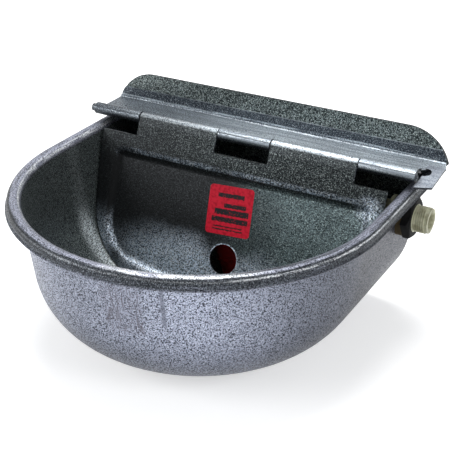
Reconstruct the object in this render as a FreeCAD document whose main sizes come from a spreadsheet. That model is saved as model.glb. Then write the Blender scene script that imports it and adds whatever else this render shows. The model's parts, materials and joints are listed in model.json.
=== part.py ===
import FreeCAD, Part
import math
import os
import Sketcher

# Wall-hung livestock drinking bowl, millimetres.
# Frame: y = 0 is the wall, -Y points to the animal, +Z is up, and z = 0 is the height of the
# two wall screws.  x = 0 is the middle of the pressed bowl.

doc = FreeCAD.newDocument("drinking_bowl")
sheet = doc.addObject("Spreadsheet::Sheet", "dims")
Vec = FreeCAD.Vector

DIMENSIONS = [
    # pressed bowl
    ("gauge", 1.2),
    ("rim_level", 18.7),
    ("bowl_depth", 122.5),
    ("nose_centre", 110.5),
    ("wall_half", 136.8),
    ("wall_draft", 7.0),
    ("wall_run", 56.6),
    ("corner_round", 62.3),
    ("crown_round", 5.5),
    ("skirt_run", 1.3),
    ("foot_round", 1.2),
    ("foot_turn", 42.0),
    ("lip_run", 1.4),
    # back plate
    ("plate_gauge", 1.5),
    ("plate_top", 53.0),
    ("plate_left", 148.0),
    ("plate_right", 160.0),
    ("plate_round", 36.0),
    ("ear_low", 27.0),
    ("ear_root", 1.0),
    ("screw_pitch", 130.0),
    ("screw_hole", 8.7),
    # hinge strip
    ("strip_gauge", 1.6),
    ("leg_fold", 1.5),
    ("shelf_level", 28.0),
    ("strip_leg", 10.0),
    ("hinge_out", 39.0),
    ("hinge_level", 29.0),
    ("curl_round", 5.0),
    ("ramp_angle", 30.0),
    ("ramp_round", 6.0),
    ("knuckle_end", 146.5),
    ("knuckle_mid", 23.7),
    ("knuckle_side", 100.6),
    ("slit", 1.0),
    ("tab_right", 160.5),
    ("tab_front", 47.9),
    ("tab_slant", 4.6),
    ("tab_fold", 17.0),
    ("tab_slope", 8.0),
    ("tab_bend", 12.0),
    ("tab_step", 3.5),
    ("tab_step_y", 3.0),
    ("tab_flare_y", 12.0),
    ("tab_hole", 11.0),
    ("tab_hole_y", 24.5),
    ("pin_prick", 2.0),
    ("prick_x", -129.0),
    ("prick_y", 21.0),
    ("pin_dia", 6.6),
    ("pin_left", 150.5),
    # cover
    ("cover_gauge", 1.2),
    ("cover_curl", 4.6),
    ("cover_lean", 22.0),
    ("cover_gap", 1.6),
    ("cover_left", 133.3),
    ("cover_right", 128.3),
    ("notch_level", 16.0),
    ("dish_top", 29.0),
    ("dish_half", 117.5),
    ("dish_bottom", 131.7),
    ("dish_run", 49.0),
    ("dish_round", 40.0),
    ("dish_depth", 4.0),
    ("dish_taper", 50.0),
    ("dish_shoulder", 7.0),
    ("sight_hole", 25.2),
    ("sight_down", 100.5),
    ("label_side", 40.5),
    ("label_across", -2.0),
    ("label_down", 60.0),
    ("label_tilt", 3.5),
    ("label_film", 0.25),
    ("label_round", 3.0),
    # inlet and valve
    ("inlet_y", 30.0),
    ("inlet_z", -10.0),
    ("thread_dia", 21.3),
    ("shank_dia", 22.4),
    ("inlet_bore", 13.8),
    ("mouth_bore", 14.4),
    ("mouth_deep", 11.0),
    ("inlet_end", 158.0),
    ("nut_in", 139.0),
    ("nut_wide", 7.0),
    ("nut_flats", 30.0),
    ("washer_dia", 32.0),
    ("flange_in", 125.5),
    ("flange_wide", 3.0),
    ("flange_dia", 29.0),
    ("barrel_dia", 19.8),
    ("barrel_end", 108.0),
    ("plunger_bore", 12.0),
    ("seat_face", 125.5),
    ("lever_drop", 7.0),
    ("pivot_x", 103.0),
    ("pivot_dia", 3.2),
    ("ear_gap", 10.6),
    ("ear_wide", 2.4),
    # float
    ("float_swing", 20.0),
    ("float_dia", 52.0),
    ("float_tall", 34.0),
    ("float_edge", 4.0),
    ("float_out", 120.0),
    ("arm_wide", 9.6),
    ("arm_gauge", 2.0),
]
for row, (alias, value) in enumerate(DIMENSIONS, start=1):
    sheet.set(f"A{row}", alias)
    sheet.set(f"B{row}", str(value))
    sheet.setAlias(f"B{row}", alias)
doc.recompute()


def dim(alias):
    return float(sheet.get(alias))


def sin(angle):
    return math.sin(math.radians(angle))


def cos(angle):
    return math.cos(math.radians(angle))


def tan(angle):
    return math.tan(math.radians(angle))


def cells(text):
    """Prefix every dimension name in an expression with the sheet's name."""
    names = {alias for alias, value in DIMENSIONS}
    words = text.replace("(", " ( ").replace(")", " ) ").split()
    return " ".join(f"dims.{word}" if word in names else word for word in words)


def add(kind, name, at=(0, 0, 0), turn=None, **sizes):
    """A Part primitive whose sizes, and place where it has one, follow the sheet."""
    item = doc.addObject(kind, name)
    if turn:
        item.Placement.Rotation = FreeCAD.Rotation(Vec(*turn[0]), turn[1])
    for axis, place in zip("xyz", at):
        if isinstance(place, str):
            item.setExpression(f"Placement.Base.{axis}", cells(place))
        else:
            setattr(item.Placement.Base, axis, place)
    for size, value in sizes.items():
        if isinstance(value, str):
            item.setExpression(size, cells(value))
        else:
            setattr(item, size, value)
    return item


ALONG_X = ((0, 1, 0), 90)
ALONG_Y = ((1, 0, 0), -90)
UPRIGHT = ((0, 0, 1), 0)


def rod(name, dia, length, at, turn=ALONG_X):
    return add("Part::Cylinder", name, at, turn, Radius=f"( {dia} ) / 2", Height=length)


def cut(name, base, *tools):
    """Base less its tools, one after the other."""
    for count, tool in enumerate(tools):
        last = count == len(tools) - 1
        item = doc.addObject("Part::Cut", name if last else f"{name}_cut{count}")
        item.Base = base
        item.Tool = tool
        base = item
    return base


def fuse(name, *shapes):
    item = doc.addObject("Part::MultiFuse", name)
    item.Shapes = list(shapes)
    item.Refine = True
    return item


def common(name, base, tool):
    item = doc.addObject("Part::Common", name)
    item.Base = base
    item.Tool = tool
    return item


class Outline:
    """Lines and arcs drawn end to end in a sketch, each tangent to the last unless told not to."""

    def __init__(self, name, plane, point, heading):
        self.sketch = doc.addObject("Sketcher::SketchObject", name)
        self.sketch.Placement.Rotation = plane
        self.point = Vec(point[0], point[1], 0)
        self.start = self.point
        self.heading = heading
        self.last = None

    def join(self, piece, entry, leave, smooth):
        if self.last is not None:
            kind = "Tangent" if smooth else "Coincident"
            self.sketch.addConstraint(Sketcher.Constraint(kind, *self.last, piece, entry))
        self.last = (piece, leave)
        return piece

    def size(self, name, rule, constraint):
        """A driving size: rule is an expression of the sheet's names."""
        self.sketch.addConstraint(constraint)
        self.sketch.renameConstraint(self.sketch.ConstraintCount - 1, name)
        self.sketch.setExpression(f"Constraints.{name}", cells(rule))

    def run(self, length, rule=None, smooth=True):
        end = self.point + Vec(cos(self.heading), sin(self.heading), 0) * length
        piece = self.sketch.addGeometry(Part.LineSegment(self.point, end))
        self.join(piece, 1, 2, smooth)
        if rule:
            self.size(f"run{piece}", rule, Sketcher.Constraint("Distance", piece, length))
        self.point = end
        return piece

    def bend(self, radius, turn, rule=None, turn_rule=None, smooth=True):
        side = 1 if turn > 0 else -1
        centre = self.point + Vec(-sin(self.heading), cos(self.heading), 0) * radius * side
        first = self.heading - 90 * side
        last = first + turn
        low, high = (first, last) if turn > 0 else (last, first)
        circle = Part.Circle(centre, Vec(0, 0, 1), radius)
        arc = Part.ArcOfCircle(circle, math.radians(low), math.radians(high))
        piece = self.sketch.addGeometry(arc)
        self.join(piece, 1 if turn > 0 else 2, 2 if turn > 0 else 1, smooth)
        if rule:
            self.size(f"round{piece}", rule, Sketcher.Constraint("Radius", piece, radius))
        if turn_rule:
            swept = Sketcher.Constraint("Angle", piece, math.radians(abs(turn)))
            self.size(f"turn{piece}", turn_rule, swept)
        self.point = centre + Vec(cos(last), sin(last), 0) * radius
        self.heading += turn
        return piece

    def line_to(self, point):
        """A plain side of a polygon."""
        end = Vec(point[0], point[1], 0)
        piece = self.sketch.addGeometry(Part.LineSegment(self.point, end))
        self.join(piece, 1, 2, False)
        self.point = end
        return piece

    def close(self):
        piece = self.line_to((self.start.x, self.start.y))
        self.sketch.addConstraint(Sketcher.Constraint("Coincident", piece, 2, 0, 1))
        return self.sketch


FRONT_PLANE = FreeCAD.Rotation(Vec(1, 0, 0), 90)       # sketch x -> X, sketch y -> Z
SIDE_PLANE = FreeCAD.Rotation(Vec(1, 1, 1), 120)       # sketch x -> Y, sketch y -> Z


def extrude(name, sketch, length, direction, offset=0):
    """A solid pulled from a closed sketch, starting at offset along the direction."""
    item = doc.addObject("Part::Extrusion", name)
    item.Base = sketch
    item.DirMode = "Custom"
    item.Dir = direction
    item.Solid = True
    if isinstance(length, str):
        item.setExpression("LengthFwd", cells(length))
    else:
        item.LengthFwd = length
    axis = "xyz"[[abs(part) for part in direction].index(1)]
    if isinstance(offset, str):
        item.setExpression(f"Placement.Base.{axis}", cells(offset))
    else:
        setattr(item.Placement.Base, axis, offset)
    return item


def sheet_metal(name, sketch, gauge):
    """The section of a sheet: the sketch is one skin and the gauge lies to one side."""
    item = doc.addObject("Part::Offset2D", name)
    item.Source = sketch
    item.Mode = "Skin"
    item.Join = "Intersection"
    item.Fill = True
    item.setExpression("Value", cells(gauge))
    return item


def closing_arc(half, draft, run, corner, depth):
    """Turns of the corner arc and radius of the floor arc that meet the middle at this depth."""
    corner_x = half - run * sin(draft) - corner * cos(draft)
    corner_z = -run * cos(draft) + corner * sin(draft)
    drop = depth + corner_z
    floor = (corner_x ** 2 + drop ** 2 - corner ** 2) / (2 * (drop - corner))
    edge = math.degrees(math.atan2(corner_x, floor - drop))
    return 90 - draft - edge, floor, edge


# ---- shared heights and sections -------------------------------------------------------------
gauge = dim("gauge")
rim = dim("rim_level")
draft = dim("wall_draft")
crown = dim("crown_round")
wall_top = rim - crown * (1 - sin(draft))
floor_level = rim - dim("bowl_depth")
section_depth = wall_top - floor_level
corner = dim("corner_round")
corner_turn, floor_round, floor_turn = closing_arc(
    dim("wall_half"), draft, dim("wall_run"), corner, section_depth)


def half_section(outline, grow):
    """Floor and corner of the bowl section, from the middle out, moved out by grow."""
    outline.bend(floor_round + grow, floor_turn)
    outline.bend(corner + grow, corner_turn)


def mirrored_half(outline, grow):
    """The same corner and floor, coming back to the middle from the left."""
    outline.bend(corner + grow, corner_turn)
    outline.bend(floor_round + grow, floor_turn)


# ---- bowl: one pressing, round at the nose and straight back to the wall -----------------------
def make_bowl():
    skin = Outline("bowl_skin", FRONT_PLANE, (0, floor_level), 0)
    skin.sketch.setExpression("Placement.Base.y", cells("0 - nose_centre"))
    skin.bend(floor_round, floor_turn)
    skin.bend(corner, corner_turn, "corner_round")
    skin.run(dim("wall_run"), "wall_run")
    skin.bend(crown, -(180 - draft), "crown_round", "180 - wall_draft")
    skin.run(dim("skirt_run"), "skirt_run")
    skin.bend(dim("foot_round"), dim("foot_turn"), "foot_round", "foot_turn")
    skin.run(dim("lip_run"), "lip_run")
    section = sheet_metal("bowl_section", skin.sketch, "0 - gauge")
    nose = doc.addObject("Part::Revolution", "bowl_nose")
    nose.Source = section
    nose.Axis = Vec(0, 0, -1)
    nose.Angle = 180
    nose.Solid = True
    nose.setExpression("Base.y", cells("0 - nose_centre"))
    right = extrude("bowl_right", section, "nose_centre - plate_gauge", Vec(0, 1, 0))
    left = doc.addObject("Part::Mirroring", "bowl_left")
    left.Source = right
    left.Normal = Vec(1, 0, 0)
    shell = fuse("bowl_shell", nose, right, left)
    hole = rod("inlet_hole", "shank_dia + 0.7", 30, ("flange_in", "0 - inlet_y", "inlet_z"))
    return cut("bowl", shell, hole)


# ---- back plate: flat sheet with rounded ears, cut to the bowl below ----------------------------
def plate_outline():
    face = Outline("plate_outline", FRONT_PLANE, (0, floor_level - gauge), 0)
    half_section(face, gauge)
    side = (dim("ear_root") - face.point.y) / cos(draft)
    face.run(side)
    root = face.point
    ear = dim("plate_round")
    lift = math.degrees(math.asin((dim("ear_low") - dim("plate_top") + ear) / ear))
    face.line_to((dim("plate_right") - ear + ear * cos(lift), dim("ear_low")))
    face.heading = 90 + lift
    face.bend(ear, 90 - lift, "plate_round", smooth=False)
    face.run(dim("plate_left") + dim("plate_right") - 2 * dim("plate_round"))
    face.bend(dim("plate_round"), 90, "plate_round")
    face.line_to((-root.x, root.y))
    face.heading = 270 + draft
    face.run(side, smooth=False)
    mirrored_half(face, gauge)
    return face.sketch


def make_back_plate(outline):
    blank = extrude("plate_blank", outline, "plate_gauge", Vec(0, -1, 0))
    holes = []
    for name, place in (("screw_left", "0 - screw_pitch / 2"), ("screw_right", "screw_pitch / 2")):
        holes.append(rod(name, "screw_hole", 20, (place, -10, 0), ALONG_Y))
    return cut("back_plate", blank, *holes)


# ---- hinge strip: leg on the plate, shelf, ramp, and three curls round the pin ------------------
def make_hinge_strip(outline):
    leg_front = -dim("plate_gauge") - dim("strip_gauge")
    shelf = dim("shelf_level")
    fold = dim("leg_fold")
    rise = dim("ramp_angle")
    curl = dim("curl_round")
    over_y = -dim("hinge_out") + curl * sin(rise)
    over_z = dim("hinge_level") + curl * cos(rise)
    ramp_foot = dim("ramp_round") * (1 - cos(rise))
    ramp_run = (over_z - shelf - ramp_foot) / sin(rise)
    ramp_start = over_y + ramp_run * cos(rise) + dim("ramp_round") * sin(rise)

    skin = Outline("strip_skin", SIDE_PLANE, (leg_front, shelf + dim("strip_leg")), -90)
    skin.run(dim("strip_leg") - fold)
    skin.bend(fold, -90)
    skin.run(-ramp_start + leg_front - fold)
    skin.bend(dim("ramp_round"), -rise, "ramp_round", "ramp_angle")
    skin.run(ramp_run)
    skin.bend(curl, rise + 255, "curl_round")
    section = sheet_metal("strip_section", skin.sketch, "0 - strip_gauge")
    curled = extrude("strip_curled", section, "knuckle_end * 2", Vec(1, 0, 0), "0 - knuckle_end")

    flat = Outline("tab_skin", SIDE_PLANE, (leg_front, shelf + dim("strip_leg")), -90)
    flat.run(dim("strip_leg") - fold)
    flat.bend(fold, -90)
    flat.run(dim("tab_fold") + leg_front - fold)
    flat.bend(dim("tab_bend"), dim("tab_slope"))
    flat.run(dim("tab_front") - dim("tab_fold"))
    tab_section = sheet_metal("tab_section", flat.sketch, "0 - strip_gauge")
    tab = extrude("strip_tab", tab_section, "tab_right - knuckle_end", Vec(1, 0, 0), "knuckle_end")
    plan = Outline("tab_plan", FreeCAD.Rotation(), (dim("knuckle_end"), 1), 0)
    front_corner = -dim("tab_front") + dim("tab_slant")
    step = dim("tab_right") - dim("tab_step")
    for corner_point in ((step, 1), (step, -dim("tab_step_y")), (dim("tab_right"), -dim("tab_flare_y")),
                         (dim("tab_right"), front_corner), (dim("knuckle_end"), -dim("tab_front"))):
        plan.line_to(corner_point)
    trimmed = common("tab_trimmed", tab, extrude("tab_prism", plan.close(), 60, Vec(0, 0, 1)))
    blank = fuse("strip_blank", curled, trimmed)

    tools = []
    for name, place in (("slot_left", "0 - knuckle_side"), ("slot_right", "knuckle_mid")):
        tools.append(add("Part::Box", name, (place, -60, 10), Height=40,
                         Length="knuckle_side - knuckle_mid", Width="61.2 - hinge_out + curl_round"))
    tools.append(add("Part::Box", "tab_slit", ("knuckle_end", -60, 20), Length="slit", Height=20,
                     Width="60 - tab_hole_y"))
    tools.append(rod("tab_hole_tool", "tab_hole", 20, ("knuckle_end + slit", "0 - tab_hole_y", 20), UPRIGHT))
    tools.append(rod("prick_tool", "pin_prick", 20, ("prick_x", "0 - prick_y", 20), UPRIGHT))
    around = add("Part::Box", "leg_band", (-180, -4.5, "shelf_level + 1.6"), Length=360, Width=5, Height=30)
    prism = extrude("plate_prism", outline, 8, Vec(0, -1, 0))
    tools.append(cut("leg_trim", around, prism))
    return cut("hinge_strip", blank, *tools)


# ---- cover: leaning flap with two wide curls, a pressed dish and a sight hole --------------------
def cover_plane(depth=0.0):
    """Placement with local x across, local y up the sheet, local z out of its front skin."""
    lean = dim("cover_lean")
    turn = FreeCAD.Rotation(Vec(1, 0, 0), 90 - lean)
    curl = dim("cover_curl")
    top = Vec(0, -dim("hinge_out") - curl * cos(lean), dim("hinge_level") + curl * sin(lean))
    return FreeCAD.Placement(top + turn.multVec(Vec(0, 0, depth)), turn)


def dish_form(name, grow, depth):
    """A tapered plug whose wide end is the dish outline, grown and set back by depth."""
    half = dim("dish_half") + grow
    edge_round = dim("dish_shoulder") + grow
    tall = dim("dish_bottom") - dim("dish_top") + 2 * grow
    corner_in = dim("dish_round") + grow
    turn, low_round, low_turn = closing_arc(half, 0, dim("dish_run"), corner_in, tall - edge_round)
    line = Outline(name + "_outline", cover_plane().Rotation, (0, -dim("dish_bottom") - grow), 0)
    line.sketch.Placement = cover_plane(-depth)
    line.bend(low_round, low_turn)
    line.bend(corner_in, turn)
    line.run(dim("dish_run"))
    line.bend(edge_round, 90)
    line.run(line.point.x * 2)
    line.bend(edge_round, 90)
    line.run(dim("dish_run"))
    line.bend(corner_in, turn)
    line.bend(low_round, low_turn)
    plug = doc.addObject("Part::Extrusion", name)
    plug.Base = line.sketch
    plug.DirMode = "Normal"
    plug.Reversed = True
    plug.Solid = True
    plug.setExpression("LengthFwd", cells("dish_depth"))
    plug.setExpression("TaperAngle", cells("0 - dish_taper"))
    return plug


def make_cover():
    lean = dim("cover_lean")
    top = cover_plane().Base
    long = 150.0
    start = top - Vec(0, sin(lean), cos(lean)) * long
    skin = Outline("cover_skin", SIDE_PLANE, (start.y, start.z), 90 - lean)
    skin.run(long)
    skin.bend(dim("cover_curl"), -285, "cover_curl")
    section = sheet_metal("cover_section", skin.sketch, "cover_gauge")
    blank = extrude("cover_blank", section, "cover_left + cover_right", Vec(1, 0, 0), "0 - cover_left")

    taper = dim("dish_taper")
    back_grow = dim("cover_gauge") * (1 - sin(taper)) / cos(taper)
    dish_back = dish_form("dish_back", back_grow, dim("cover_gauge"))
    dish_front = dish_form("dish_front", 0.0, 0.0)
    pressed = fuse("cover_pressed", blank, dish_back)

    hole = doc.addObject("Part::Cylinder", "sight_tool")
    hole.setExpression("Radius", cells("sight_hole / 2"))
    hole.Height = 20
    hole.Placement = cover_plane(-12)
    hole.Placement.move(cover_plane().Rotation.multVec(Vec(0, -dim("sight_down"), 0)))
    tools = [dish_front, hole]
    tools.append(add("Part::Box", "notch_left", (-150, -60, "notch_level"), Height=40, Width=40,
                     Length="150 - knuckle_side + slit"))
    tools.append(add("Part::Box", "notch_right", ("knuckle_side - slit", -60, "notch_level"),
                     Height=40, Width=40, Length=60))
    tools.append(add("Part::Box", "notch_mid", ("0 - knuckle_mid - slit", -60, "notch_level"), Height=40,
                     Width=40, Length="( knuckle_mid + slit ) * 2"))
    stamped = cut("cover_stamped", pressed, *tools)

    gap = dim("cover_gap")
    inside = Outline("cover_limit", FRONT_PLANE, (0, floor_level + gap), 0)
    half_section(inside, -gap)
    side_run = (60 - inside.point.y) / cos(draft)
    inside.run(side_run)
    inside.line_to((-inside.point.x, inside.point.y))
    inside.heading = 270 + draft
    inside.run(side_run, smooth=False)
    mirrored_half(inside, -gap)
    limit = extrude("cover_limit_prism", inside.sketch, 150, Vec(0, -1, 0))
    return common("cover", stamped, limit)


def make_cover_label():
    film = add("Part::Box", "label_film_sheet", Length="label_side", Width="label_side", Height="label_film")
    half = dim("label_side") / 2
    middle = FreeCAD.Placement(Vec(dim("label_across"), -dim("label_down"), 0),
                               FreeCAD.Rotation(Vec(0, 0, 1), dim("label_tilt")))
    corner_shift = FreeCAD.Placement(Vec(-half, -half, 0), FreeCAD.Rotation())
    film.Placement = cover_plane(-dim("dish_depth")) * middle * corner_shift
    doc.recompute()
    label = doc.addObject("Part::Fillet", "cover_label")
    label.Base = film
    upright = [number for number, edge in enumerate(film.Shape.Edges, 1) if edge.Length < 1]
    label.Edges = [(number, dim("label_round"), dim("label_round")) for number in upright]
    return label


# ---- hinge pin ----------------------------------------------------------------------------------
def make_hinge_pin():
    return rod("hinge_pin", "pin_dia", "pin_left + knuckle_end - 0.5",
               ("0 - pin_left", "0 - hinge_out", "hinge_level"))


# ---- inlet: threaded shank through the wall, nut and washer outside, gasket and flange inside ---
def inlet_rod(name, dia, start, end):
    """A rod on the inlet's axis between two expressions for x."""
    return rod(name, dia, f"( {end} ) - ( {start} )", (start, "0 - inlet_y", "inlet_z"))


def wall_form(name, grow):
    """The right-hand wall's face as a block of everything inside it."""
    face = Outline(name + "_face", FRONT_PLANE, (0, floor_level - grow), 0)
    half_section(face, grow)
    face.run(dim("wall_run"))
    face.line_to((0, face.point.y))
    return extrude(name, face.close(), 80, Vec(0, -1, 0))


def make_valve_body():
    shank = inlet_rod("shank", "shank_dia", "flange_in", "nut_in + nut_wide")
    nipple = inlet_rod("nipple", "thread_dia", "nut_in", "inlet_end")
    flange = inlet_rod("flange", "flange_dia", "flange_in", "flange_in + flange_wide")
    barrel = inlet_rod("barrel", "barrel_dia", "barrel_end", "flange_in")
    ears = []
    for name, place in (("ear_front", "0 - inlet_y - ear_gap / 2 - ear_wide"),
                        ("ear_back", "0 - inlet_y + ear_gap / 2")):
        ears.append(add("Part::Box", name, ("pivot_x - 5.5", place, "inlet_z - lever_drop - 5.5"),
                        Length=16, Width="ear_wide", Height="lever_drop + 12.5"))
    solid = fuse("valve_solid", shank, nipple, flange, barrel, *ears)
    tools = [
        inlet_rod("bore_tool", "inlet_bore", "seat_face + 2", "inlet_end + 1"),
        inlet_rod("mouth_tool", "mouth_bore", "inlet_end - mouth_deep", "inlet_end + 1"),
        inlet_rod("throat_tool", "8.8", "seat_face - 1", "seat_face + 3"),
        inlet_rod("plunger_tool", "plunger_bore", "pivot_x - 7", "seat_face + 0.5"),
        rod("port_tool", "7.2", 40, (118.5, "0 - inlet_y", "inlet_z - 20"), UPRIGHT),
        rod("pivot_tool", "pivot_dia + 0.1", 30,
            ("pivot_x", "0 - inlet_y - 15", "inlet_z - lever_drop"), ALONG_Y),
    ]
    return cut("valve_body", solid, *tools)


def make_outer_washer():
    disc = inlet_rod("washer_disc", "washer_dia", "flange_in", "nut_in")
    return cut("outer_washer", disc, wall_form("outside_of_wall", gauge),
               inlet_rod("washer_hole", "shank_dia + 0.1", "flange_in - 1", "nut_in + 1"))


def make_inner_gasket():
    disc = inlet_rod("gasket_disc", "flange_dia", "flange_in + flange_wide", "nut_in")
    ring = cut("gasket_ring", disc,
               inlet_rod("gasket_hole", "shank_dia + 0.1", "flange_in", "nut_in + 1"))
    return common("inner_gasket", ring, wall_form("inside_of_wall", 0))


def make_lock_nut():
    hexagon = doc.addObject("Part::Prism", "nut_hexagon")
    hexagon.Polygon = 6
    hexagon.setExpression("Circumradius", cells("nut_flats / 1.7320508"))
    hexagon.setExpression("Height", cells("nut_wide"))
    hexagon.Placement.Rotation = FreeCAD.Rotation(Vec(0, 1, 0), 90)
    hexagon.Placement.Rotation = hexagon.Placement.Rotation.multiply(
        FreeCAD.Rotation(Vec(0, 0, 1), 90))
    for axis, place in zip("xyz", ("nut_in", "0 - inlet_y", "inlet_z")):
        hexagon.setExpression(f"Placement.Base.{axis}", cells(place))
    crown_cone = add("Part::Cone", "nut_crown", ("nut_in", "0 - inlet_y", "inlet_z"), ALONG_X,
                     Radius1="nut_flats / 2 + 8", Radius2="nut_flats / 2 - 0.4", Height="nut_wide")
    return cut("lock_nut", common("nut_blank", hexagon, crown_cone),
               inlet_rod("nut_thread", "shank_dia + 0.1", "nut_in - 1", "nut_in + nut_wide + 1"))


def make_valve_seat():
    base = inlet_rod("seat_base", "inlet_bore - 0.1", "seat_face + 2", "seat_face + 4.5")
    nozzle = inlet_rod("seat_nozzle", "7.6", "seat_face", "seat_face + 3")
    orifice = inlet_rod("seat_orifice", "4.4", "seat_face - 1", "seat_face + 6")
    return cut("valve_seat", fuse("seat_solid", base, nozzle), orifice)


def make_inlet_screen():
    disc = inlet_rod("screen_disc", "inlet_bore - 0.1", "inlet_end - 12", "inlet_end - 11")
    holes = [inlet_rod("screen_centre", "2.6", "inlet_end - 13", "inlet_end - 10")]
    for number in range(6):
        hole = inlet_rod(f"screen_hole{number}", "2.6", "inlet_end - 13", "inlet_end - 10")
        shift = Vec(0, 4.3 * cos(60 * number), 4.3 * sin(60 * number))
        hole.setExpression("Placement.Base.y", cells(f"{shift.y} - inlet_y"))
        hole.setExpression("Placement.Base.z", cells(f"{shift.z} + inlet_z"))
        holes.append(hole)
    return cut("inlet_screen", disc, *holes)


def make_plunger():
    stem = inlet_rod("plunger_stem", "plunger_bore - 0.14", "pivot_x + 1.3", "seat_face - 5")
    cup = inlet_rod("plunger_cup", "10", "seat_face - 7", "seat_face - 4")
    grooves = []
    for number in range(4):
        groove = add("Part::Box", f"plunger_groove{number}", ("barrel_end - 1", 0, 0),
                     Length=14, Width=2.4, Height=3)
        groove.Placement.Rotation = FreeCAD.Rotation(Vec(1, 0, 0), 90 * number)
        offset = groove.Placement.Rotation.multVec(Vec(0, -1.2, 4.4))
        groove.setExpression("Placement.Base.y", cells(f"{offset.y} - inlet_y"))
        groove.setExpression("Placement.Base.z", cells(f"{offset.z} + inlet_z"))
        grooves.append(groove)
    relief = add("Part::Box", "plunger_relief",
                 ("pivot_x - 2", "0 - inlet_y - 8", "inlet_z - 8"),
                 Length=6.4, Width=16, Height=5.2)
    return cut("plunger", stem, cup, relief, *grooves)


def make_plunger_seal():
    return inlet_rod("plunger_seal", "9.9", "seat_face - 7", "seat_face - 2.8")


# ---- float and lever: drawn level, then let down by the float's swing about the pivot -----------
def hang(item):
    """Turn a piece drawn with the pivot at the origin to where it hangs in the empty bowl."""
    holder = doc.addObject("Part::Feature", item.Name + "_hung")
    doc.recompute()
    pivot = Vec(dim("pivot_x"), -dim("inlet_y"), dim("inlet_z") - dim("lever_drop"))
    holder.Shape = item.Shape
    holder.Placement = FreeCAD.Placement(
        pivot, FreeCAD.Rotation(Vec(0, 1, 0), -dim("float_swing"))) * item.Placement
    holder.Label = item.Name.replace("_level", "")
    return holder


def make_float_arm():
    lean = dim("float_swing") / 2
    hub = rod("arm_hub", "7.2", "arm_wide", (0, "0 - arm_wide / 2", 0), ALONG_Y)
    nose_x = dim("lever_drop") * sin(lean)
    nose_z = dim("lever_drop") * cos(lean)
    nose = rod("arm_nose", "4", "arm_wide", (nose_x, "0 - arm_wide / 2", nose_z), ALONG_Y)
    web = add("Part::Box", "arm_web", (-1.6, "0 - arm_wide / 2", 0), ((0, 1, 0), lean),
              Length=3.2, Width="arm_wide", Height="lever_drop")
    bar = add("Part::Box", "arm_bar", ("0 - float_out", "0 - arm_wide / 2", "0 - arm_gauge / 2"),
              Length="float_out", Width="arm_wide", Height="arm_gauge")
    end = rod("arm_end", "arm_wide + 6", "arm_gauge", ("0 - float_out", 0, "0 - arm_gauge / 2"),
              UPRIGHT)
    solid = fuse("arm_solid", hub, nose, web, bar, end)
    pivot = rod("arm_pivot", "pivot_dia + 0.1", 30, (0, -15, 0), ALONG_Y)
    screw = rod("arm_screw", "4.4", 20, ("0 - float_out", 0, -10), UPRIGHT)
    return cut("float_arm_level", solid, pivot, screw)


FLOAT_TOP = "0 - arm_gauge / 2 - 1.2"


def float_rod(name, dia, low, high):
    """A rod on the float's axis between two expressions for its height under the arm."""
    return rod(name, dia, f"( {high} ) - ( {low} )", ("0 - float_out", 0, low), UPRIGHT)


def make_float():
    body = float_rod("float_drum", "float_dia", f"{FLOAT_TOP} - float_tall", FLOAT_TOP)
    doc.recompute()
    rounded = doc.addObject("Part::Chamfer", "float_rounded")
    rounded.Base = body
    rims = [number for number, edge in enumerate(body.Shape.Edges, 1) if edge.Closed]
    rounded.Edges = [(number, dim("float_edge"), dim("float_edge")) for number in rims]
    seam = float_rod("float_seam", "float_dia + 1.6", f"{FLOAT_TOP} - float_tall / 2 - 0.9",
                     f"{FLOAT_TOP} - float_tall / 2 + 0.9")
    socket = float_rod("float_socket", "7", f"{FLOAT_TOP} - 12", "5")
    return cut("float_level", fuse("float_solid", rounded, seam), socket)


def make_float_insert():
    sleeve = float_rod("insert_sleeve", "7", f"{FLOAT_TOP} - 12", FLOAT_TOP)
    return cut("float_insert_level", sleeve, float_rod("insert_bore", "4", f"{FLOAT_TOP} - 11", "5"))


def make_float_washer():
    disc = float_rod("washer_plate", "13", FLOAT_TOP, "0 - arm_gauge / 2")
    return cut("float_washer_level", disc, float_rod("washer_bore", "4.4", "-10", "5"))


def make_float_screw():
    shank = float_rod("screw_shank", "4", f"{FLOAT_TOP} - 10", "arm_gauge / 2 + 1")
    head = float_rod("screw_head", "8", "arm_gauge / 2", "arm_gauge / 2 + 2.6")
    slot = add("Part::Box", "screw_slot", ("0 - float_out - 5", -0.6, "arm_gauge / 2 + 1.6"),
               Length=10, Width=1.2, Height=3)
    return cut("float_screw_level", fuse("screw_solid", shank, head), slot)


# ---- lever pin and its clip ---------------------------------------------------------------------
def make_lever_pin():
    at = ("pivot_x", "0 - inlet_y - ear_gap / 2 - ear_wide - 1.6", "inlet_z - lever_drop")
    shank = rod("pin_shank", "pivot_dia", "ear_gap + 2 * ear_wide + 4.2", at, ALONG_Y)
    head = rod("pin_head", "pivot_dia + 2.6", 1.5, at, ALONG_Y)
    return fuse("lever_pin", shank, head)


def make_pin_clip():
    at = ("pivot_x", "0 - inlet_y + ear_gap / 2 + ear_wide + 0.4", "inlet_z - lever_drop")
    ring = rod("clip_ring", "pivot_dia + 4", 0.8, at, ALONG_Y)
    bore = rod("clip_bore", "pivot_dia", 4, (at[0], at[1] + " - 1", at[2]), ALONG_Y)
    mouth = add("Part::Box", "clip_mouth", ("pivot_x - 1", at[1] + " - 1", "inlet_z - lever_drop - 6"),
                Length=2, Width=4, Height=6)
    return cut("pin_clip", ring, bore, mouth)


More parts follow.
